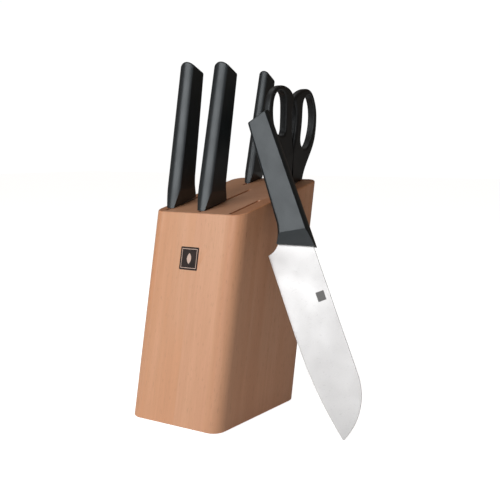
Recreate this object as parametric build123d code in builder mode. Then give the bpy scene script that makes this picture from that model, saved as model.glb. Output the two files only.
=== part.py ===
from build123d import *
from math import cos, radians, sin, tan
import os

# A wooden knife block, the three knives and the scissors stored in it, and a santoku that
# leans on the block's right-hand top edge with its tip on the table. Millimetres.
#
# Frame: +Z up, origin at the centre of the block's rest face, badge face towards -Y.
# The block's side view is drawn in (across, along): across runs back from the front face,
# square to it, and along runs up the lean of the front face. Both are zero on the front
# top edge. A knife is drawn in (depth, reach): depth runs from the blade's spine to its
# edge, and reach runs from the bolster towards the butt, so blades have negative reach.

# Block
block_width = 96.0
block_base_depth = 127.0
front_height = 179.4
lean_angle = 11.5
top_rise_angle = 11.4
corner_radius = 11.0
rim_radius = 1.4
foot_chamfer = 0.8

# Boards, from left to right: the x of every glued seam, and of the two outer sides
board_names = [
    "left_side_board",
    "left_inner_board",
    "middle_board",
    "right_inner_board",
    "right_side_board",
]
board_seams = [-block_width / 2, -35.5, -18.0, 1.5, 32.5, block_width / 2]

# Slots: width in x, first and last across, and the along of the floor
slot_width = 3.0
narrow_slot_width = 2.6
wide_slot_front = 4.4
wide_slot_back = 80.0
wide_slot_floor = -156.0
santoku_slot_front = 2.6
santoku_slot_back = 46.0
santoku_slot_floor = -166.0
utility_slot_front = 95.0
utility_slot_back = 120.4
utility_slot_floor = -92.0
scissor_pocket_width = 10.2
scissor_pocket_front = 85.0
scissor_pocket_back = 119.6
scissor_pocket_floor = -72.0
slot_floor_radius = 6.0

# Badge, let into the front face
badge_width = 19.4
badge_height = 20.0
badge_thickness = 1.2
badge_recess = 1.1
badge_corner = 1.0
badge_fit = 0.05
badge_x = -1.7
badge_along = -39.5

# Knives
rest_gap = 0.6
blade_thickness = 2.0
utility_blade_thickness = 1.5
edge_thickness = 0.3
bolster_angle = 25.1
butt_angle = 13.0
belly_radius = 2.8
flank_taper = 0.2
butt_edge_radius = 1.2
butt_dome = 0.15
butt_corner_radius = 3.2
tang_fit = 0.05

# Full-size handle, shared by both cleavers and the santoku
handle_length = 132.4
handle_thickness = 14.8
handle_bolster_thickness = 7.8
handle_crown = 2.4
handle_crown_rise = 2.9
handle_depth_bolster = 29.3
handle_depth_grip = 23.0
handle_depth_butt = 18.8
handle_grip_reach = 33.0
handle_bevel_length = 14.5

# Utility knife's smaller handle
utility_length = 113.4
utility_thickness = 10.0
utility_bolster_thickness = 5.4
utility_crown = 1.6
utility_crown_rise = 1.9
utility_depth_bolster = 20.8
utility_depth_grip = 19.2
utility_depth_butt = 17.6
utility_grip_reach = 24.0
utility_bevel_length = 9.0

# Each stored knife: x and across where its spine leaves the block, and how far it tilts back
chopper_x = -37.0
chopper_across = 11.7
chopper_tilt = -0.7
cleaver_x = 0.0
cleaver_across = 8.5
cleaver_tilt = 1.4
utility_x = -19.3
utility_across = 102.6
utility_tilt = 3.2

# Blades
cleaver_blade_length = 142.0
cleaver_blade_width = 66.0
cleaver_heel_reach = 8.0
cleaver_corner_radius = 7.0
utility_blade_length = 118.0
utility_blade_width = 15.5
santoku_blade_length = 160.1
santoku_blade_width = 40.0
santoku_tip_depth = 29.3
santoku_spine_straight = 113.0
santoku_edge_straight = 73.0
santoku_heel_reach = 7.2
santoku_tip_radius = 1.2

# Santoku's place: its spine at the bolster, its axis towards the butt, its spine-to-edge
santoku_spine_point = Vector(92.1, 17.4, 151.8)
santoku_axis_hint = Vector(-0.454, 0.141, 0.880)
santoku_depth_hint = Vector(-0.856, -0.345, -0.386)

# Scissors, drawn in (u, v) about their pivot: u runs back and v runs up the lean
scissor_x = 27.2
pivot_across = 102.5
pivot_along = 28.0
pivot_radius = 2.5
pivot_clearance = 0.05
screw_head_radius = 5.5
screw_head_thickness = 1.4
nut_radius = 4.6
driver_slot_width = 1.0
driver_slot_depth = 0.5
scissor_blade_thickness = 2.4
scissor_layer_gap = 0.03
scissor_blade_length = 88.0
scissor_boss_radius = 12.0
bow_thickness = 8.4
bow_outer_radius = 2.8
bow_inner_radius = 1.8
bow_seam_gap = 0.12
bow_seam_top = 50.0
bow_seam_lean = 0.0845
seam_foot_u = 1.4

lean = radians(lean_angle)
across_axis = Vector(0, cos(lean), -sin(lean))
lean_axis = Vector(0, sin(lean), cos(lean))
front_top_edge = Vector(0, front_height * tan(lean) - block_base_depth / 2, front_height)
block_across = block_base_depth * cos(lean)
top_slope = tan(radians(lean_angle + top_rise_angle))
above_block = 60.0
below_block = front_height / cos(lean) + 40.0

top_rise = radians(top_rise_angle)
top_plane = Plane(front_top_edge, x_dir=(1, 0, 0), z_dir=(0, -sin(top_rise), cos(top_rise)))


def side_plane(x):
    """Side view (across, along) of the block at x, facing +X."""
    return Plane(front_top_edge + Vector(x, 0, 0), x_dir=across_axis, z_dir=(1, 0, 0))


def plane_at(plane, first, second, turn=0.0):
    """The same view moved to a point of itself and turned about its normal, in degrees."""
    return Plane(
        plane.from_local_coords(Vector(first, second, 0)),
        x_dir=plane.x_dir.rotate(Axis((0, 0, 0), plane.z_dir), turn),
        z_dir=plane.z_dir,
    )


def surface_along(across):
    """Along of the block's top face at an across."""
    return across * top_slope


def save(builder, label):
    """Label a finished piece and write it as one STEP file."""
    builder.part.label = label
    export_step(builder.part, f"parts/{label}.step")


# ---------------------------------------------------------------- block


def rim_edges(builder, left, right):
    """Edges of the top face that lie on the block's outside, not on a glued seam."""
    top = builder.faces().filter_by(lambda face: face.normal_at().dot(top_plane.z_dir) > 0.999)[0]
    seams = [x for x in (left, right) if abs(x) < block_width / 2]
    return [e for e in top.edges() if all(abs((e @ 0.5).X - x) > 0.01 for x in seams)]


def base_edges(builder, left, right):
    """Edges of the rest face that lie on the block's outside."""
    base = builder.faces().filter_by(Axis.Z).sort_by(Axis.Z)[0]
    seams = [x for x in (left, right) if abs(x) < block_width / 2]
    return [e for e in base.edges() if all(abs((e @ 0.5).X - x) > 0.01 for x in seams)]


def make_board(label, left, right, slots):
    """One upright board of the block, with its slots milled into one of its faces.

    A slot is (seam x, cut direction, width, front, back, floor).
    """
    cross_section = Plane(front_top_edge, x_dir=(1, 0, 0), z_dir=lean_axis)
    with BuildPart() as board:
        with BuildSketch(cross_section) as outline:
            with Locations(((left + right) / 2, block_across / 2)):
                Rectangle(right - left, block_across)
            outer = outline.vertices().filter_by(
                lambda vertex: abs(abs(vertex.X) - block_width / 2) < 0.01
            )
            if outer:
                fillet(outer, corner_radius)
        extrude(amount=above_block)
        extrude(outline.sketch, amount=-below_block)
        split(bisect_by=top_plane, keep=Keep.BOTTOM)
        split(bisect_by=Plane.XY, keep=Keep.TOP)
        fillet(rim_edges(board, left, right), rim_radius)
        chamfer(base_edges(board, left, right), foot_chamfer)
        for seam, direction, width, front, back, floor in slots:
            with BuildSketch(side_plane(seam)) as slot:
                with Locations(((front + back) / 2, (floor + above_block) / 2)):
                    Rectangle(back - front, above_block - floor)
                fillet(slot.vertices().sort_by(Axis.Y)[:2], slot_floor_radius)
            extrude(amount=direction * width, mode=Mode.SUBTRACT)
        if left < badge_x + badge_width / 2 and right > badge_x - badge_width / 2:
            with BuildSketch(badge_plane()):
                RectangleRounded(
                    badge_width + 2 * badge_fit,
                    badge_height + 2 * badge_fit,
                    badge_corner + badge_fit,
                )
            extrude(amount=-badge_recess, mode=Mode.SUBTRACT)
    save(board, label)


def badge_plane():
    """Plane of the front face, centred on the badge and facing forwards."""
    centre = side_plane(badge_x).from_local_coords(Vector(0, badge_along, 0))
    return Plane(centre, x_dir=(1, 0, 0), z_dir=-across_axis)


def make_block():
    """The five glued boards and the badge let into the front."""
    wide = (wide_slot_front, wide_slot_back, wide_slot_floor)
    utility = (utility_slot_front, utility_slot_back, utility_slot_floor)
    pocket = (scissor_pocket_front, scissor_pocket_back, scissor_pocket_floor)
    santoku = (santoku_slot_front, santoku_slot_back, santoku_slot_floor)
    slots = [
        [(board_seams[1], -1, slot_width, *wide)],
        [(board_seams[2], -1, narrow_slot_width, *utility)],
        [(board_seams[3], -1, slot_width, *wide)],
        [(board_seams[4], -1, scissor_pocket_width, *pocket)],
        [(board_seams[4], 1, slot_width, *santoku)],
    ]
    for index, name in enumerate(board_names):
        make_board(name, board_seams[index], board_seams[index + 1], slots[index])

    with BuildPart() as badge:
        with BuildSketch(badge_plane().offset(-badge_recess)):
            RectangleRounded(badge_width, badge_height, badge_corner)
        extrude(amount=badge_thickness)
        chamfer(badge.faces().sort_by(Axis.Y)[0].edges(), 0.08)
    save(badge, "badge")


# ---------------------------------------------------------------- knives


def stored_knife_plane(x, across, tilt):
    """Knife view of a stored knife whose spine leaves the block at x and across."""
    reach = surface_along(across) + rest_gap
    return plane_at(side_plane(x), across, reach, -tilt)


def santoku_plane():
    """Knife view of the leaning santoku."""
    axis = santoku_axis_hint.normalized()
    depth = (santoku_depth_hint - axis * santoku_depth_hint.dot(axis)).normalized()
    return Plane(santoku_spine_point, x_dir=depth, z_dir=depth.cross(axis))


def bevel_plane(view, side, bolster_half, full_half, length):
    """Slanting plane that thins one side of the handle towards the bolster."""
    angle = radians(bolster_angle)
    start = view.from_local_coords(Vector(0, 0, side * bolster_half))
    along_bolster = view.from_local_coords(Vector(cos(angle), sin(angle), 0)) - view.origin
    rise = Vector(-sin(angle) * length, cos(angle) * length, side * (full_half - bolster_half))
    towards_butt = view.from_local_coords(rise) - view.origin
    normal = along_bolster.cross(towards_butt) * side
    return Plane(start, x_dir=along_bolster, z_dir=normal)


def make_handle(label, view, sizes, tang):
    """Moulded handle: crowned spine, creased flanks, rounded belly, bevels at the bolster."""
    length, thickness, bolster_thickness, crown, crown_rise = sizes[:5]
    depth_bolster, depth_grip, depth_butt, grip_reach, bevel_length = sizes[5:]
    half = thickness / 2
    bolster_slope = tan(radians(bolster_angle))
    butt_slope = tan(radians(butt_angle))
    belly_direction = Vector(depth_grip - depth_butt, grip_reach - length, 0)
    butt_corner = (depth_butt, length - depth_butt * butt_slope)
    with BuildPart() as handle:
        with BuildSketch(view) as profile:
            with BuildLine():
                Polyline(
                    (depth_bolster, depth_bolster * bolster_slope),
                    (-crown, -crown * bolster_slope),
                    (-crown, length + crown * butt_slope),
                    butt_corner,
                    (depth_grip, grip_reach),
                )
                TangentArc(
                    (depth_grip, grip_reach),
                    (depth_bolster, depth_bolster * bolster_slope),
                    tangent=belly_direction,
                )
            make_face()
            fillet(profile.vertices().sort_by_distance(butt_corner)[0], butt_corner_radius)
        extrude(amount=half, both=True)
        section = Plane(
            view.from_local_coords(Vector(0, -crown, 0)), x_dir=view.z_dir, z_dir=view.y_dir
        )
        flank_half = half - thickness * flank_taper
        with BuildSketch(section):
            with BuildLine():
                ThreePointArc((-half, crown_rise - crown), (0, -crown), (half, crown_rise - crown))
                Polyline(
                    (half, crown_rise - crown),
                    (flank_half, 2 * depth_bolster),
                    (-flank_half, 2 * depth_bolster),
                    (-half, crown_rise - crown),
                )
            make_face()
        extrude(amount=length + 2 * crown, mode=Mode.INTERSECT)
        fillet(belly_edges(handle, view, half, depth_butt), belly_radius)
        with BuildSketch(butt_plane(view, length, butt_slope)):
            with BuildLine():
                ThreePointArc((-half, thickness * butt_dome), (0, 0), (half, thickness * butt_dome))
                Polyline(
                    (half, thickness * butt_dome),
                    (half, 2 * length),
                    (-half, 2 * length),
                    (-half, thickness * butt_dome),
                )
            make_face()
        extrude(amount=2 * length, mode=Mode.INTERSECT)
        for side in (-1, 1):
            split(
                bisect_by=bevel_plane(view, side, bolster_thickness / 2, half, bevel_length),
                keep=Keep.BOTTOM,
            )
        crown_end = view.from_local_coords(Vector(-crown, length + crown * butt_slope, 0))
        fillet(handle.edges().sort_by_distance(crown_end)[0], butt_edge_radius)
        with BuildSketch(view):
            with BuildLine():
                Polyline(*tang_points(tang, tang_fit), close=True)
            make_face()
        extrude(amount=tang[3] / 2 + tang_fit, both=True, mode=Mode.SUBTRACT)
    save(handle, label)


def butt_plane(view, length, slope):
    """Plane square to the butt's slope, in which the butt is domed across the thickness."""
    start = view.from_local_coords(Vector(-length, length + length * slope, 0))
    direction = view.from_local_coords(Vector(1, -slope, 0)) - view.origin
    return Plane(start, x_dir=view.z_dir, z_dir=direction)


def belly_edges(builder, view, half, depth):
    """The two long edges between the belly and the flanks."""
    chosen = []
    for edge in builder.edges():
        middle = view.to_local_coords(edge @ 0.5)
        if middle.X > depth * 0.85 and abs(middle.Z) > half * 0.5:
            chosen.append(edge)
    return chosen


def tang_points(tang, margin=0.0):
    """Corners of the strip that runs up inside the handle, grown by a margin."""
    front, back, reach = tang[:3]
    return [
        (front - margin, -1),
        (front - margin, reach + margin),
        (back + margin, reach + margin),
        (back + margin, -1),
    ]


def ground_bar(view, width, thickness, length, reach):
    """Bar of the blade's cross-section, from the thick spine to the thin edge."""
    half = thickness / 2
    edge_half = edge_thickness / 2
    section = Plane(
        view.from_local_coords(Vector(0, -length - 1, 0)), x_dir=view.z_dir, z_dir=view.y_dir
    )
    with BuildPart() as bar:
        with BuildSketch(section):
            with BuildLine():
                Polyline(
                    (-half, 0),
                    (half, 0),
                    (half, width * 0.35),
                    (edge_half * 2.2, width - 1.2),
                    (edge_half, width),
                    (-edge_half, width),
                    (-edge_half * 2.2, width - 1.2),
                    (-half, width * 0.35),
                    close=True,
                )
            make_face()
        extrude(amount=length + reach + 2)
    return bar.part


def make_cleaver_blade(label, view, tang):
    """Broad rectangular blade with its tang."""
    width = cleaver_blade_width
    bolster_slope = tan(radians(bolster_angle))
    depth = handle_depth_bolster - 1.0
    with BuildPart() as blade:
        with BuildSketch(view) as profile:
            with BuildLine():
                Polyline(
                    (0, 0),
                    (0, -cleaver_blade_length),
                    (width, -cleaver_blade_length),
                    (width, cleaver_heel_reach),
                    (depth, depth * bolster_slope),
                    close=True,
                )
            make_face()
            fillet(profile.vertices().sort_by(Axis.Y)[:2], cleaver_corner_radius)
            with BuildLine():
                Polyline(*tang_points(tang), close=True)
            make_face()
        extrude(amount=tang[3] / 2, both=True)
        add(ground_bar(view, width, tang[3], cleaver_blade_length, tang[2]), mode=Mode.INTERSECT)
    save(blade, label)


def make_utility_blade(label, view, tang):
    """Small pointed blade with its tang."""
    width = utility_blade_width
    length = utility_blade_length
    bolster_slope = tan(radians(bolster_angle))
    with BuildPart() as blade:
        with BuildSketch(view):
            with BuildLine():
                Polyline((width, -length * 0.55), (width, 0), (width - 1, (width - 1) * bolster_slope))
                Polyline((width - 1, (width - 1) * bolster_slope), (0, 0), (0, -length * 0.5))
                ThreePointArc(
                    (0, -length * 0.5), (width * 0.12, -length * 0.75), (width * 0.5, -length)
                )
                ThreePointArc(
                    (width * 0.5, -length), (width * 0.87, -length * 0.85), (width, -length * 0.55)
                )
            make_face()
            with BuildLine():
                Polyline(*tang_points(tang), close=True)
            make_face()
        extrude(amount=tang[3] / 2, both=True)
        add(ground_bar(view, width, tang[3], length, tang[2]), mode=Mode.INTERSECT)
    save(blade, label)


def make_santoku_blade(label, view, tang):
    """Santoku blade: straight spine that drops in an arc to the tip, nearly flat edge."""
    width = santoku_blade_width
    bolster_slope = tan(radians(bolster_angle))
    depth = handle_depth_bolster - 0.6
    tip = (santoku_tip_depth, -santoku_blade_length)
    with BuildPart() as blade:
        with BuildSketch(view) as profile:
            with BuildLine():
                Line((0, 0), (0, -santoku_spine_straight))
                TangentArc((0, -santoku_spine_straight), tip, tangent=(0, -1))
                TangentArc((width, -santoku_edge_straight), tip, tangent=(0, -1))
                Line((width, -santoku_edge_straight), (width, santoku_heel_reach))
                ThreePointArc(
                    (width, santoku_heel_reach),
                    (width * 0.86, santoku_heel_reach + 1.6),
                    (depth, depth * bolster_slope),
                )
                Line((depth, depth * bolster_slope), (0, 0))
            make_face()
            fillet(profile.vertices().sort_by_distance(tip)[0], santoku_tip_radius)
            with BuildLine():
                Polyline(*tang_points(tang), close=True)
            make_face()
        extrude(amount=tang[3] / 2, both=True)
        add(ground_bar(view, width, tang[3], santoku_blade_length, tang[2]), mode=Mode.INTERSECT)
    save(blade, label)


def make_knives():
    """Both cleavers, the utility knife and the santoku, each a blade and a handle."""
    full_size = (
        handle_length,
        handle_thickness,
        handle_bolster_thickness,
        handle_crown,
        handle_crown_rise,
        handle_depth_bolster,
        handle_depth_grip,
        handle_depth_butt,
        handle_grip_reach,
        handle_bevel_length,
    )
    small = (
        utility_length,
        utility_thickness,
        utility_bolster_thickness,
        utility_crown,
        utility_crown_rise,
        utility_depth_bolster,
        utility_depth_grip,
        utility_depth_butt,
        utility_grip_reach,
        utility_bevel_length,
    )
    full_tang = (4.0, 14.0, handle_length * 0.75, blade_thickness)
    small_tang = (2.5, 9.5, utility_length * 0.75, utility_blade_thickness)

    chopper_view = stored_knife_plane(chopper_x, chopper_across, chopper_tilt)
    cleaver_view = stored_knife_plane(cleaver_x, cleaver_across, cleaver_tilt)
    for name, view in (("chopper", chopper_view), ("cleaver", cleaver_view)):
        make_handle(f"{name}_handle", view, full_size, full_tang)
        make_cleaver_blade(f"{name}_blade", view, full_tang)

    view = stored_knife_plane(utility_x, utility_across, utility_tilt)
    make_handle("utility_handle", view, small, small_tang)
    make_utility_blade("utility_blade", view, small_tang)

    make_handle("santoku_handle", santoku_plane(), full_size, full_tang)
    make_santoku_blade("santoku_blade", santoku_plane(), full_tang)


# ---------------------------------------------------------------- scissors


def scissor_plane(offset=0.0):
    """Side view (u, v) of the scissors about their pivot."""
    return plane_at(side_plane(scissor_x), pivot_across, pivot_along).offset(offset)


def scissor_surface(u):
    """Height v, above the pivot, at which the bows rest on the block."""
    return surface_along(pivot_across + u) + rest_gap - pivot_along


def make_scissor_blade(label, side):
    """One blade: boss, tang up into its own bow, blade crossing to the other side.

    Side is -1 for the half whose bow is at the front and +1 for the one at the rear.
    """
    inner = side * scissor_layer_gap
    with BuildPart() as blade:
        with BuildSketch(scissor_plane(inner)):
            Circle(scissor_boss_radius)
            with BuildLine():
                Polyline(
                    (-side * 11.6, -3.0),
                    (-side * 11.0, -14.0),
                    (-side * 7.2, -scissor_blade_length * 0.6),
                    (-side * 1.2, -scissor_blade_length),
                    (side * 0.4, -scissor_blade_length + 3.0),
                    (side * 3.4, -16.0),
                    (side * 10.0, -6.5),
                    close=True,
                )
            make_face()
            with BuildLine():
                Polyline(
                    (side * 11.5, 3.0),
                    (side * 13.5, 14.0),
                    (side * 13.5, 38.0),
                    (side * 6.5, 38.0),
                    (side * 4.5, 4.0),
                    close=True,
                )
            make_face()
            Circle(pivot_radius + pivot_clearance, mode=Mode.SUBTRACT)
        extrude(amount=side * scissor_blade_thickness)
    save(blade, label)
    return blade


def make_bow(label, side, outline, hole, blade):
    """Moulded finger loop and shank, with the tang's socket and the seam to its twin."""
    seam_foot = (side * seam_foot_u, scissor_surface(side * seam_foot_u))
    with BuildPart() as bow:
        with BuildSketch(scissor_plane(-bow_thickness / 2)):
            with BuildLine():
                Spline(*outline)
                Polyline(outline[-1], seam_foot, outline[0])
            make_face()
            with BuildLine():
                Spline(*hole, periodic=True)
            make_face(mode=Mode.SUBTRACT)
        extrude(amount=bow_thickness)
        curved = bow.edges().filter_by(GeomType.BSPLINE).sort_by(SortBy.LENGTH)
        fillet(curved[2:], bow_outer_radius)
        curved = bow.edges().filter_by(GeomType.BSPLINE).filter_by(
            lambda edge: abs(edge.length - curved[0].length) < 0.01
        )
        fillet(curved, bow_inner_radius)
        add(blade.part, mode=Mode.SUBTRACT)
    save(bow, label)


def make_scissors():
    """Two blades, their bows, and the screw and nut that hold them at the pivot."""
    seam_top = -bow_seam_lean * bow_seam_top
    front_outline = [
        (-20.2, scissor_surface(-20.2)),
        (-28.5, 27.0),
        (-40.5, 45.0),
        (-49.2, 63.0),
        (-51.6, 80.0),
        (-46.5, 94.5),
        (-35.0, 101.6),
        (-25.8, 102.8),
        (-17.0, 100.8),
        (-11.6, 95.5),
        (-12.2, 84.0),
        (-10.6, 70.0),
        (seam_top - bow_seam_gap, bow_seam_top),
    ]
    front_hole = [
        (-36.0, 96.2),
        (-44.2, 90.0),
        (-45.8, 78.0),
        (-42.0, 65.0),
        (-31.5, 56.0),
        (-22.4, 58.0),
        (-21.2, 69.0),
        (-23.8, 84.0),
        (-28.0, 94.0),
    ]
    rear_outline = [
        (20.0, scissor_surface(20.0)),
        (22.9, 35.0),
        (30.2, 51.0),
        (34.8, 64.0),
        (35.6, 79.0),
        (33.2, 92.5),
        (27.4, 103.0),
        (17.0, 110.6),
        (7.0, 109.2),
        (-4.0, 103.0),
        (-10.3, 95.5),
        (-5.6, 86.0),
        (-2.4, 72.0),
        (seam_top + bow_seam_gap, bow_seam_top),
    ]
    rear_hole = [
        (13.6, 104.4),
        (6.4, 97.5),
        (6.4, 84.0),
        (7.4, 68.0),
        (9.6, 56.0),
        (16.0, 52.2),
        (23.4, 57.0),
        (28.6, 69.0),
        (29.6, 82.0),
        (26.4, 95.0),
        (20.6, 103.0),
    ]
    front_blade = make_scissor_blade("scissor_front_blade", -1)
    rear_blade = make_scissor_blade("scissor_rear_blade", 1)
    make_bow("scissor_front_bow", -1, front_outline, front_hole, front_blade)
    make_bow("scissor_rear_bow", 1, rear_outline, rear_hole, rear_blade)

    stack = scissor_layer_gap + scissor_blade_thickness + pivot_clearance
    with BuildPart() as screw:
        with BuildSketch(scissor_plane(-stack - screw_head_thickness)):
            Circle(pivot_radius)
        extrude(amount=2 * stack + screw_head_thickness)
        with BuildSketch(scissor_plane(stack)):
            Circle(screw_head_radius)
        extrude(amount=screw_head_thickness)
        chamfer(screw.faces().sort_by(Axis.X)[-1].edges(), 0.3)
        with BuildSketch(scissor_plane(stack + screw_head_thickness)):
            Rectangle(3 * screw_head_radius, driver_slot_width)
        extrude(amount=-driver_slot_depth, mode=Mode.SUBTRACT)
    save(screw, "pivot_screw")

    with BuildPart() as nut:
        with BuildSketch(scissor_plane(-stack)):
            RegularPolygon(nut_radius, 6)
            Circle(pivot_radius, mode=Mode.SUBTRACT)
        extrude(amount=-screw_head_thickness)
    save(nut, "pivot_nut")


os.makedirs("parts", exist_ok=True)
make_block()
make_knives()
make_scissors()
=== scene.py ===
from math import cos, pi, radians, sin

import bmesh
import bpy
from mathutils import Matrix, Vector


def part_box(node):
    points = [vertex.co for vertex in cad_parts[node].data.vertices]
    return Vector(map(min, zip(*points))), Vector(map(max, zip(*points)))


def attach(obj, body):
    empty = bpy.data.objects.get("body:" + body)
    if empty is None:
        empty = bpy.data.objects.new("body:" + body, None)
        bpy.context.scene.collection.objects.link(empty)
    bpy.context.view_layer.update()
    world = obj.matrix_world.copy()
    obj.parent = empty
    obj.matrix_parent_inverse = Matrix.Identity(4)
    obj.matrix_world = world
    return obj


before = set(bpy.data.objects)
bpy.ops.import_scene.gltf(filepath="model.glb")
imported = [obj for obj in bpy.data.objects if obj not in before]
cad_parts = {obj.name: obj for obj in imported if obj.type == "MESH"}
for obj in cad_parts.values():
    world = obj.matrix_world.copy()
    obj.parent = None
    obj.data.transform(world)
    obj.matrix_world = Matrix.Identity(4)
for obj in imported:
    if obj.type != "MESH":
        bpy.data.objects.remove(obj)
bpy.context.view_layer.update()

# The block leans back by LEAN, and so do the knives stored in it
LEAN = radians(11.5)
LEAN_AXIS = Vector((0, sin(LEAN), cos(LEAN)))
FRONT_OUTWARD = Vector((0, -cos(LEAN), sin(LEAN)))
UPRIGHT_GRAIN = (LEAN, 0, 0)

# The leaning santoku: towards its butt, from spine to edge, square to its blade, its bolster
SANTOKU_AXIS = Vector((-0.454, 0.141, 0.880)).normalized()
SANTOKU_DEPTH = Vector((-0.856, -0.345, -0.386))
SANTOKU_DEPTH = (SANTOKU_DEPTH - SANTOKU_AXIS * SANTOKU_DEPTH.dot(SANTOKU_AXIS)).normalized()
SANTOKU_SIDE = SANTOKU_DEPTH.cross(SANTOKU_AXIS)
SANTOKU_BOLSTER = Vector((0.0921, 0.0174, 0.1518))

# Each board, how bright its wood is, and how far from orange to pink
BOARDS = (
    ("left_side_board", 0.95, 0.2),
    ("left_inner_board", 0.99, 0.0),
    ("middle_board", 0.96, 0.1),
    ("right_inner_board", 0.94, 0.9),
    ("right_side_board", 0.92, 0.3),
)
GRAIN_START = 1.3
GRAIN_STEP = 3.7

# Wood, beside the tones that follow the board: fine lines, flecks, end grain, and a painted
# highlight on sharp edges
WOOD_FINE_LINE = (0.54, 0.230, 0.100, 1.0)
WOOD_FLECK = (0.34, 0.115, 0.045, 1.0)
WOOD_END_SHADE = (0.70, 0.62, 0.56, 1.0)
WOOD_EDGE_HIGHLIGHT = (0.78, 0.52, 0.36, 1.0)

# Plastic: the darkest and lightest of each moulding, and the painted highlight on its sharp edges
HANDLE_TONES = ((0.004, 0.0075, 0.0095, 1.0), (0.009, 0.0135, 0.016, 1.0))
BOW_TONES = ((0.003, 0.003, 0.0032, 1.0), (0.006, 0.006, 0.0064, 1.0))
PLASTIC_EDGE_HIGHLIGHT = (0.075, 0.078, 0.082, 1.0)
PLASTIC_SHEEN_TINT = (0.90, 0.96, 1.0, 1.0)

# Steel and the badge
STEEL_TONES = ((0.56, 0.56, 0.565, 1.0), (0.63, 0.63, 0.635, 1.0))
STEEL_SCRATCH = (0.42, 0.42, 0.43, 1.0)
PLATE_TONES = ((0.012, 0.006, 0.005, 1.0), (0.030, 0.016, 0.012, 1.0))
INLAY_TONES = ((0.62, 0.44, 0.36, 1.0), (0.72, 0.54, 0.45, 1.0))

# Marks: on the badge and on the santoku's blade, in metres
BADGE_FACE_OFFSET = 0.00060
MARK_THICKNESS = 0.00006
MARK_SOFTENING = 0.00002
BORDER_SIZE = (0.0164, 0.0170)
BORDER_LINE = 0.0005
LEAF_SIZE = (0.0096, 0.0046)
LEAF_STEPS = 24
ETCH_HALF_LENGTH = 0.0042
ETCH_HALF_HEIGHT = 0.0036
ETCH_DEPTH = 0.0078
ETCH_FROM_BOLSTER = 0.0422
ETCH_FACE_OFFSET = 0.00099
ETCH_THICKNESS = 0.00003
ETCH_SOFTENING = 0.00001

# Stage: lights as name, position, size and watts, all aimed at one point; fill light; floor
AIM = (0.02, 0.0, 0.14)
LIGHTS = (
    ("key", (-0.18, -1.55, 0.92), (1.9, 0.95), 23.0),
    ("top", (-0.45, 0.15, 1.4), (0.8, 0.8), 2.0),
)
FILL_COLOUR = (1.0, 0.82, 0.66, 1.0)
FILL_STRENGTH = 0.09
BACKDROP_STRENGTH = 1.02
FLOOR_HALF_WIDTH = 6.0
FLOOR_DROP = 0.0004
FLOOR_FILL = 0.12
FLOOR_BACKDROP = 0.93

# Camera: lens and sensor in mm, its place in metres, and its right, up and back
LENS = 59.99
SENSOR_WIDTH = 36.0
CAMERA_PLACE = (0.43905, -0.59928, 0.23455)
CAMERA_RIGHT = (0.83129, 0.55584, 0.0)
CAMERA_UP = (-0.06683, 0.09995, 0.99275)
CAMERA_BACK = (0.55180, -0.82526, 0.12023)


# ---------------------------------------------------------------- node helpers


def new_material(name):
    """A material with its node tree and its shader."""
    material = bpy.data.materials.new(name)
    material.use_nodes = True
    return material, material.node_tree, material.node_tree.nodes["Principled BSDF"]


def add(tree, kind, values=None, **settings):
    """A new node with its settings, its sockets set from values or linked from other sockets."""
    made = tree.nodes.new(kind)
    for key, value in settings.items():
        setattr(made, key, value)
    for key, value in (values or {}).items():
        plug(tree, value, made.inputs[key])
    return made


def plug(tree, value, socket):
    """Link a socket's output to this socket, or set its value."""
    if isinstance(value, bpy.types.NodeSocket):
        tree.links.new(value, socket)
    else:
        socket.default_value = value


def space(tree, rotation, scale):
    """The piece's own coordinates, turned to its grain and scaled per metre."""
    coordinates = add(tree, "ShaderNodeTexCoord").outputs["Object"]
    turned = add(tree, "ShaderNodeMapping", {"Vector": coordinates, "Rotation": rotation})
    return add(tree, "ShaderNodeMapping", {"Vector": turned.outputs[0], "Scale": scale}).outputs[0]


def plain_space(tree):
    """The piece's own coordinates as they are."""
    return space(tree, (0, 0, 0), (1, 1, 1))


def moved(tree, vector, shift):
    """Coordinates moved by a shift, so that pieces of one kind differ."""
    return add(tree, "ShaderNodeMapping", {"Vector": vector, "Location": shift}).outputs[0]


def pointiness(tree, low, high):
    """How sharply convex the surface is, as 0 to 1 between two readings."""
    return ramp(tree, add(tree, "ShaderNodeNewGeometry").outputs["Pointiness"], low, high)


def noise(tree, vector, scale, detail=3.0, roughness=0.5, distortion=0.0):
    """A noise pattern's value."""
    values = {"Vector": vector, "Scale": scale, "Detail": detail, "Roughness": roughness}
    values["Distortion"] = distortion
    return add(tree, "ShaderNodeTexNoise", values).outputs["Fac"]


def ramp(tree, value, low, high, start=0.0, end=1.0):
    """Value taken from the range low to high onto start to end."""
    values = {0: value, 1: low, 2: high, 3: start, 4: end}
    return add(tree, "ShaderNodeMapRange", values).outputs[0]


def blend(tree, factor, first, second, mode="MIX"):
    """Two colours mixed by a factor."""
    made = add(tree, "ShaderNodeMix", data_type="RGBA", blend_type=mode)
    plug(tree, factor, made.inputs[0])
    plug(tree, first, made.inputs[6])
    plug(tree, second, made.inputs[7])
    return made.outputs[2]


def maths(tree, operation, first, second):
    """One arithmetic operation on two values."""
    return add(tree, "ShaderNodeMath", {0: first, 1: second}, operation=operation).outputs[0]


def bump(tree, height, strength, distance, normal=None):
    """A normal raised by a height over an earlier normal."""
    values = {"Height": height, "Strength": strength, "Distance": distance}
    if normal is not None:
        values["Normal"] = normal
    return add(tree, "ShaderNodeBump", values).outputs[0]


def facing(tree, direction):
    """How squarely the surface faces a direction of the object, from -1 to 1."""
    coordinates = add(tree, "ShaderNodeTexCoord").outputs["Normal"]
    values = {0: coordinates, 1: tuple(direction)}
    return add(tree, "ShaderNodeVectorMath", values, operation="DOT_PRODUCT").outputs["Value"]


def grey(value):
    """An opaque grey."""
    return (value, value, value, 1.0)


# ---------------------------------------------------------------- materials


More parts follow.
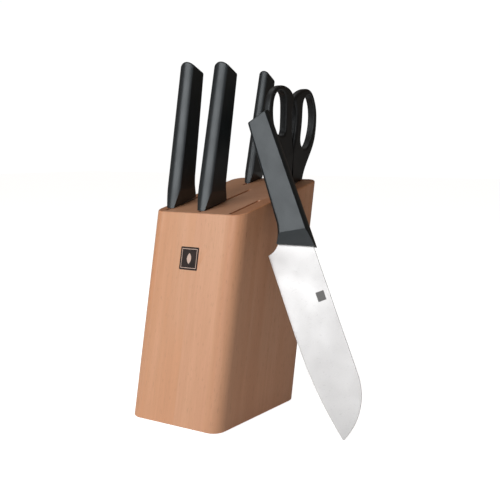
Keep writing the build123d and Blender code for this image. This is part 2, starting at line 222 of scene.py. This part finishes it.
def beech(name, tint, pink, offset):
    """Oiled beech: grain up the lean, short dark flecks, cathedral tone, darker end grain, and a
    painted highlight along sharp convex edges.

    pink, from 0 to 1, moves the board's tone from orange to pink.
    """
    material, tree, shader = new_material(name)
    shift = (offset, offset * 0.7, offset * 0.3)
    streaks = moved(tree, space(tree, UPRIGHT_GRAIN, (1.0, 1.0, 0.045)), shift)
    flecks = moved(tree, space(tree, UPRIGHT_GRAIN, (1.0, 1.0, 0.16)), shift)
    patches = moved(tree, space(tree, UPRIGHT_GRAIN, (1.0, 1.0, 0.5)), shift)
    broad = noise(tree, streaks, scale=42.0, detail=4.0, roughness=0.55, distortion=0.6)
    fine = noise(tree, streaks, scale=620.0, roughness=0.6)
    fibre = noise(tree, streaks, scale=1900.0, detail=2.0)
    fleck = noise(tree, flecks, scale=900.0, detail=2.0)
    dash = ramp(tree, fleck, low=0.60, high=0.72)
    blotch = noise(tree, patches, scale=13.0, detail=2.0, distortion=0.4)
    warm = (0.82 * tint, (0.365 + 0.030 * pink) * tint, (0.175 + 0.055 * pink) * tint, 1.0)
    rosy = (0.80 * tint, 0.410 * tint, 0.235 * tint, 1.0)
    dark = (0.68 * tint, 0.285 * tint, (0.125 + 0.03 * pink) * tint, 1.0)
    light = blend(tree, ramp(tree, blotch, 0.38, 0.62), warm, rosy)
    colour = blend(tree, ramp(tree, broad, 0.34, 0.66), dark, light)
    colour = blend(tree, ramp(tree, fine, 0.3, 0.7, end=0.35), colour, WOOD_FINE_LINE)
    colour = blend(tree, maths(tree, "MULTIPLY", dash, 0.42), colour, WOOD_FLECK)
    end_grain = ramp(tree, facing(tree, LEAN_AXIS), 0.80, 0.93)
    pore = noise(tree, space(tree, UPRIGHT_GRAIN, (1, 1, 1)), scale=1500.0, detail=2.0)
    pores = ramp(tree, pore, 0.42, 0.62, start=0.6)
    capped = blend(tree, 1.0, colour, WOOD_END_SHADE, "MULTIPLY")
    colour = blend(tree, end_grain, colour, capped)
    # Painted highlight: sharp convex edges are lightened towards a pale orange
    edge_highlight = maths(tree, "MULTIPLY", pointiness(tree, 0.5, 0.56), 0.35)
    colour = blend(tree, edge_highlight, colour, WOOD_EDGE_HIGHLIGHT)
    plug(tree, colour, shader.inputs["Base Color"])
    gloss = ramp(tree, broad, 0.3, 0.7, start=0.44, end=0.36)
    gloss = maths(tree, "ADD", gloss, maths(tree, "MULTIPLY", dash, 0.12))
    plug(tree, gloss, shader.inputs["Roughness"])
    shader.inputs["Specular IOR Level"].default_value = 0.38
    grooves = bump(tree, dash, strength=0.35, distance=-0.00012)
    fibres = bump(tree, maths(tree, "ADD", fine, fibre), 0.25, 0.00006, grooves)
    rough_end = maths(tree, "MULTIPLY", end_grain, pores)
    plug(tree, bump(tree, rough_end, 0.25, 0.00008, fibres), shader.inputs["Normal"])
    return material


def moulded_plastic(name, tones, gloss, edge_highlight_strength):
    """Dark moulded plastic: spark-eroded grain, faint mottling, and on sharp convex edges a
    painted highlight with lower roughness.
    """
    material, tree, shader = new_material(name)
    even = plain_space(tree)
    mottle = noise(tree, even, scale=55.0)
    grain = noise(tree, even, scale=2600.0, detail=2.0, roughness=0.6)
    pits = noise(tree, even, scale=1150.0, detail=2.0)
    colour = blend(tree, ramp(tree, mottle, 0.3, 0.7), *tones)
    # Painted highlight: sharp convex edges are lightened to a pale grey and made a little glossier
    edge_highlight = maths(tree, "MULTIPLY", pointiness(tree, 0.51, 0.58), edge_highlight_strength)
    colour = blend(tree, edge_highlight, colour, PLASTIC_EDGE_HIGHLIGHT)
    plug(tree, colour, shader.inputs["Base Color"])
    rough = ramp(tree, mottle, 0.3, 0.7, start=gloss + 0.03, end=gloss - 0.04)
    rough = maths(tree, "ADD", rough, ramp(tree, grain, 0.3, 0.7, start=-0.04, end=0.06))
    rough = maths(tree, "SUBTRACT", rough, maths(tree, "MULTIPLY", edge_highlight, 0.25))
    plug(tree, rough, shader.inputs["Roughness"])
    shader.inputs["Specular IOR Level"].default_value = 0.6
    shader.inputs["Specular Tint"].default_value = PLASTIC_SHEEN_TINT
    skin = bump(tree, grain, strength=0.30, distance=0.00005)
    plug(tree, bump(tree, pits, 0.18, 0.00006, skin), shader.inputs["Normal"])
    return material


def ground_steel(name, rotation, stretch):
    """Satin-ground blade steel: fine lines across the blade, clouding, a few long scratches."""
    material, tree, shader = new_material(name)
    lines = space(tree, rotation, stretch)
    grind = noise(tree, lines, scale=2400.0, roughness=0.65)
    long_line = noise(tree, lines, scale=700.0, detail=1.0, roughness=0.4)
    scratch = ramp(tree, long_line, low=0.66, high=0.74)
    cloud = noise(tree, plain_space(tree), scale=38.0, detail=2.0)
    colour = blend(tree, ramp(tree, grind, 0.3, 0.7), *STEEL_TONES)
    colour = blend(tree, maths(tree, "MULTIPLY", scratch, 0.25), colour, STEEL_SCRATCH)
    plug(tree, colour, shader.inputs["Base Color"])
    shader.inputs["Metallic"].default_value = 1.0
    shader.inputs["Anisotropic"].default_value = 0.35
    rough = ramp(tree, grind, 0.3, 0.7, start=0.46, end=0.58)
    rough = maths(tree, "ADD", rough, ramp(tree, cloud, 0.3, 0.7, start=-0.03, end=0.04))
    plug(tree, rough, shader.inputs["Roughness"])
    normal = bump(tree, grind, strength=0.10, distance=0.00002)
    plug(tree, normal, shader.inputs["Normal"])
    return material


def badge_plate():
    """Dark anodised plate with a fine grain."""
    material, tree, shader = new_material("badge_plate")
    even = plain_space(tree)
    speck = noise(tree, even, scale=1800.0, detail=2.0)
    tone = ramp(tree, noise(tree, even, scale=120.0, detail=2.0), 0.3, 0.7)
    plug(tree, blend(tree, tone, *PLATE_TONES), shader.inputs["Base Color"])
    shader.inputs["Specular IOR Level"].default_value = 0.3
    plug(tree, ramp(tree, speck, 0.3, 0.7, start=0.42, end=0.56), shader.inputs["Roughness"])
    normal = bump(tree, speck, strength=0.2, distance=0.00003)
    plug(tree, normal, shader.inputs["Normal"])
    return material


def euler_of(x_axis, y_axis, z_axis):
    """Mapping rotation that turns object coordinates onto these axes."""
    return tuple(Matrix((x_axis, y_axis, z_axis)).to_euler())


def paint(node, material):
    """Put a material on every slot of a CAD node."""
    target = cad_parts[node]
    if not target.material_slots:
        target.data.materials.append(material)
    for slot in target.material_slots:
        slot.link = "OBJECT"
        slot.material = material


def paint_pieces():
    """Give every CAD node its material."""
    for index, (name, tint, pink) in enumerate(BOARDS):
        paint(name, beech(f"beech_{name}", tint, pink, GRAIN_STEP * index + GRAIN_START))
    handle = moulded_plastic("handle_plastic", HANDLE_TONES, gloss=0.38, edge_highlight_strength=0.2)
    bow = moulded_plastic("bow_plastic", BOW_TONES, gloss=0.46, edge_highlight_strength=0.15)
    stored_steel = ground_steel("stored_blade_steel", UPRIGHT_GRAIN, (1.0, 0.03, 1.0))
    santoku_turn = euler_of(SANTOKU_DEPTH, SANTOKU_SIDE, SANTOKU_AXIS)
    santoku_steel = ground_steel("santoku_steel", santoku_turn, (0.03, 1.0, 1.0))
    for name in ("chopper", "cleaver", "utility", "santoku"):
        paint(f"{name}_handle", handle)
        paint(f"{name}_blade", santoku_steel if name == "santoku" else stored_steel)
    for side in ("front", "rear"):
        paint(f"scissor_{side}_bow", bow)
        paint(f"scissor_{side}_blade", stored_steel)
    pivot_steel = ground_steel("pivot_steel", UPRIGHT_GRAIN, (1.0, 1.0, 1.0))
    for name in ("pivot_screw", "pivot_nut"):
        paint(name, pivot_steel)
    paint("badge", badge_plate())


# ---------------------------------------------------------------- small visible pieces


def plane_piece(name, outline, thickness, turn, place, body, material, soften):
    """A flat piece cut from an outline in metres, its edges softened, put on a surface."""
    mesh = bpy.data.meshes.new(name)
    build = bmesh.new()
    corners = [build.verts.new((x, y, 0.0)) for x, y in outline]
    face = build.faces.new(corners)
    raised = bmesh.ops.extrude_face_region(build, geom=[face])["geom"]
    lifted = [part for part in raised if isinstance(part, bmesh.types.BMVert)]
    bmesh.ops.translate(build, verts=lifted, vec=(0, 0, thickness))
    bmesh.ops.recalc_face_normals(build, faces=build.faces)
    build.to_mesh(mesh)
    build.free()
    piece = bpy.data.objects.new(name, mesh)
    bpy.context.collection.objects.link(piece)
    piece.matrix_world = Matrix.Translation(place) @ turn
    mesh.materials.append(material)
    edge = piece.modifiers.new("edge", "BEVEL")
    edge.width = soften
    edge.segments = 2
    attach(piece, body)


def leaf_outline(height, width, steps):
    """A plain pointed leaf, its tip up."""
    rise = [step / steps for step in range(steps + 1)]
    right = [(width / 2 * sin(pi * t) ** 0.8, height * (t - 0.5)) for t in rise]
    left = [(-x, y) for x, y in reversed(right[1:-1])]
    return right + left


def frame_outline(width, height, line):
    """A thin rectangular border as one closed outline, cut open along a hairline."""
    x, y = width / 2, height / 2
    slit = 0.00002
    outside = [(x, 0), (x, y), (-x, y), (-x, -y), (x, -y), (x, -slit)]
    x, y = x - line, y - line
    return outside + [(x, -slit), (x, -y), (-x, -y), (-x, y), (x, y), (x, 0)]


def inlay_material():
    """Pale print let into the badge."""
    material, tree, shader = new_material("badge_inlay")
    speck = noise(tree, plain_space(tree), scale=2200.0, detail=2.0)
    colour = blend(tree, ramp(tree, speck, 0.3, 0.7), *INLAY_TONES)
    plug(tree, colour, shader.inputs["Base Color"])
    plug(tree, ramp(tree, speck, 0.3, 0.7, start=0.45, end=0.6), shader.inputs["Roughness"])
    normal = bump(tree, speck, strength=0.15, distance=0.00002)
    plug(tree, normal, shader.inputs["Normal"])
    return material


def etch_material():
    """Steel darkened and roughened by etching."""
    material, tree, shader = new_material("blade_etch")
    speck = noise(tree, plain_space(tree), scale=2600.0, detail=2.0)
    plug(tree, blend(tree, speck, grey(0.10), grey(0.20)), shader.inputs["Base Color"])
    plug(tree, ramp(tree, speck, 0.3, 0.7, start=0.5, end=0.65), shader.inputs["Roughness"])
    shader.inputs["Metallic"].default_value = 0.5
    return material


def make_marks():
    """Plain generic marks: a bordered leaf on the badge, and a small etched tab on the blade."""
    inlay = inlay_material()
    lowest, highest = (Vector(corner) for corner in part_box("badge"))
    place = (lowest + highest) / 2 + FRONT_OUTWARD * BADGE_FACE_OFFSET
    turn = Matrix((Vector((1, 0, 0)), LEAN_AXIS, FRONT_OUTWARD)).transposed().to_4x4()
    marks = (
        ("badge_border", frame_outline(*BORDER_SIZE, BORDER_LINE)),
        ("badge_leaf", leaf_outline(*LEAF_SIZE, LEAF_STEPS)),
    )
    for name, outline in marks:
        plane_piece(
            name, outline, MARK_THICKNESS, turn, place, "block", inlay, MARK_SOFTENING
        )

    etch = etch_material()
    outward = -SANTOKU_SIDE
    spot = SANTOKU_BOLSTER + SANTOKU_DEPTH * ETCH_DEPTH - SANTOKU_AXIS * ETCH_FROM_BOLSTER
    spot += outward * ETCH_FACE_OFFSET
    turn = Matrix((SANTOKU_AXIS, SANTOKU_DEPTH, outward)).transposed().to_4x4()
    x, y = ETCH_HALF_LENGTH, ETCH_HALF_HEIGHT
    tab = [(-x, -y), (x, -y), (x, y), (-x, y)]
    plane_piece(
        "blade_etch_tab", tab, ETCH_THICKNESS, turn, spot, "santoku", etch, ETCH_SOFTENING
    )


# ---------------------------------------------------------------- stage


def area_light(name, position, size, power):
    """A rectangular light aimed at the middle of the object."""
    data = bpy.data.lights.new(name, "AREA")
    data.shape = "RECTANGLE"
    data.size, data.size_y = size
    data.energy = power
    light = bpy.data.objects.new(name, data)
    bpy.context.collection.objects.link(light)
    light.location = position
    aim = Vector(AIM) - Vector(position)
    light.rotation_euler = aim.to_track_quat("-Z", "Y").to_euler()


def make_floor():
    """White paper floor just below the block."""
    mesh = bpy.data.meshes.new("floor")
    half = FLOOR_HALF_WIDTH
    corners = [(-half, -half), (half, -half), (half, half), (-half, half)]
    mesh.from_pydata([(x, y, -FLOOR_DROP) for x, y in corners], [], [(0, 1, 2, 3)])
    floor = bpy.data.objects.new("floor", mesh)
    bpy.context.collection.objects.link(floor)
    material, tree, shader = new_material("floor")
    paper = noise(tree, plain_space(tree), scale=300.0)
    plug(tree, blend(tree, paper, grey(0.80), grey(0.84)), shader.inputs["Base Color"])
    shader.inputs["Roughness"].default_value = 0.9
    shader.inputs["Specular IOR Level"].default_value = 0.0
    seen = add(tree, "ShaderNodeLightPath").outputs["Is Camera Ray"]
    glow = ramp(tree, seen, 0.0, 1.0, start=FLOOR_FILL, end=FLOOR_BACKDROP)
    plug(tree, glow, shader.inputs["Emission Strength"])
    shader.inputs["Emission Color"].default_value = grey(1.0)
    mesh.materials.append(material)


def make_world():
    """White backdrop to the camera, and a dim warm fill to everything else."""
    world = bpy.data.worlds.new("studio")
    bpy.context.scene.world = world
    world.use_nodes = True
    tree = world.node_tree
    background = tree.nodes["Background"]
    seen = add(tree, "ShaderNodeLightPath").outputs["Is Camera Ray"]
    plug(tree, blend(tree, seen, FILL_COLOUR, grey(1.0)), background.inputs["Color"])
    strength = ramp(tree, seen, 0.0, 1.0, start=FILL_STRENGTH, end=BACKDROP_STRENGTH)
    plug(tree, strength, background.inputs["Strength"])


def make_camera():
    """The camera, placed by its right, up and back directions."""
    data = bpy.data.cameras.new("camera")
    data.lens = LENS
    data.sensor_width = SENSOR_WIDTH
    camera = bpy.data.objects.new("camera", data)
    bpy.context.collection.objects.link(camera)
    axes = Matrix((CAMERA_RIGHT, CAMERA_UP, CAMERA_BACK))
    camera.matrix_world = Matrix.Translation(CAMERA_PLACE) @ axes.transposed().to_4x4()
    bpy.context.scene.camera = camera


paint_pieces()
make_marks()
make_floor()
make_world()
make_camera()
for light in LIGHTS:
    area_light(*light)
bpy.context.scene.view_settings.view_transform = "Standard"
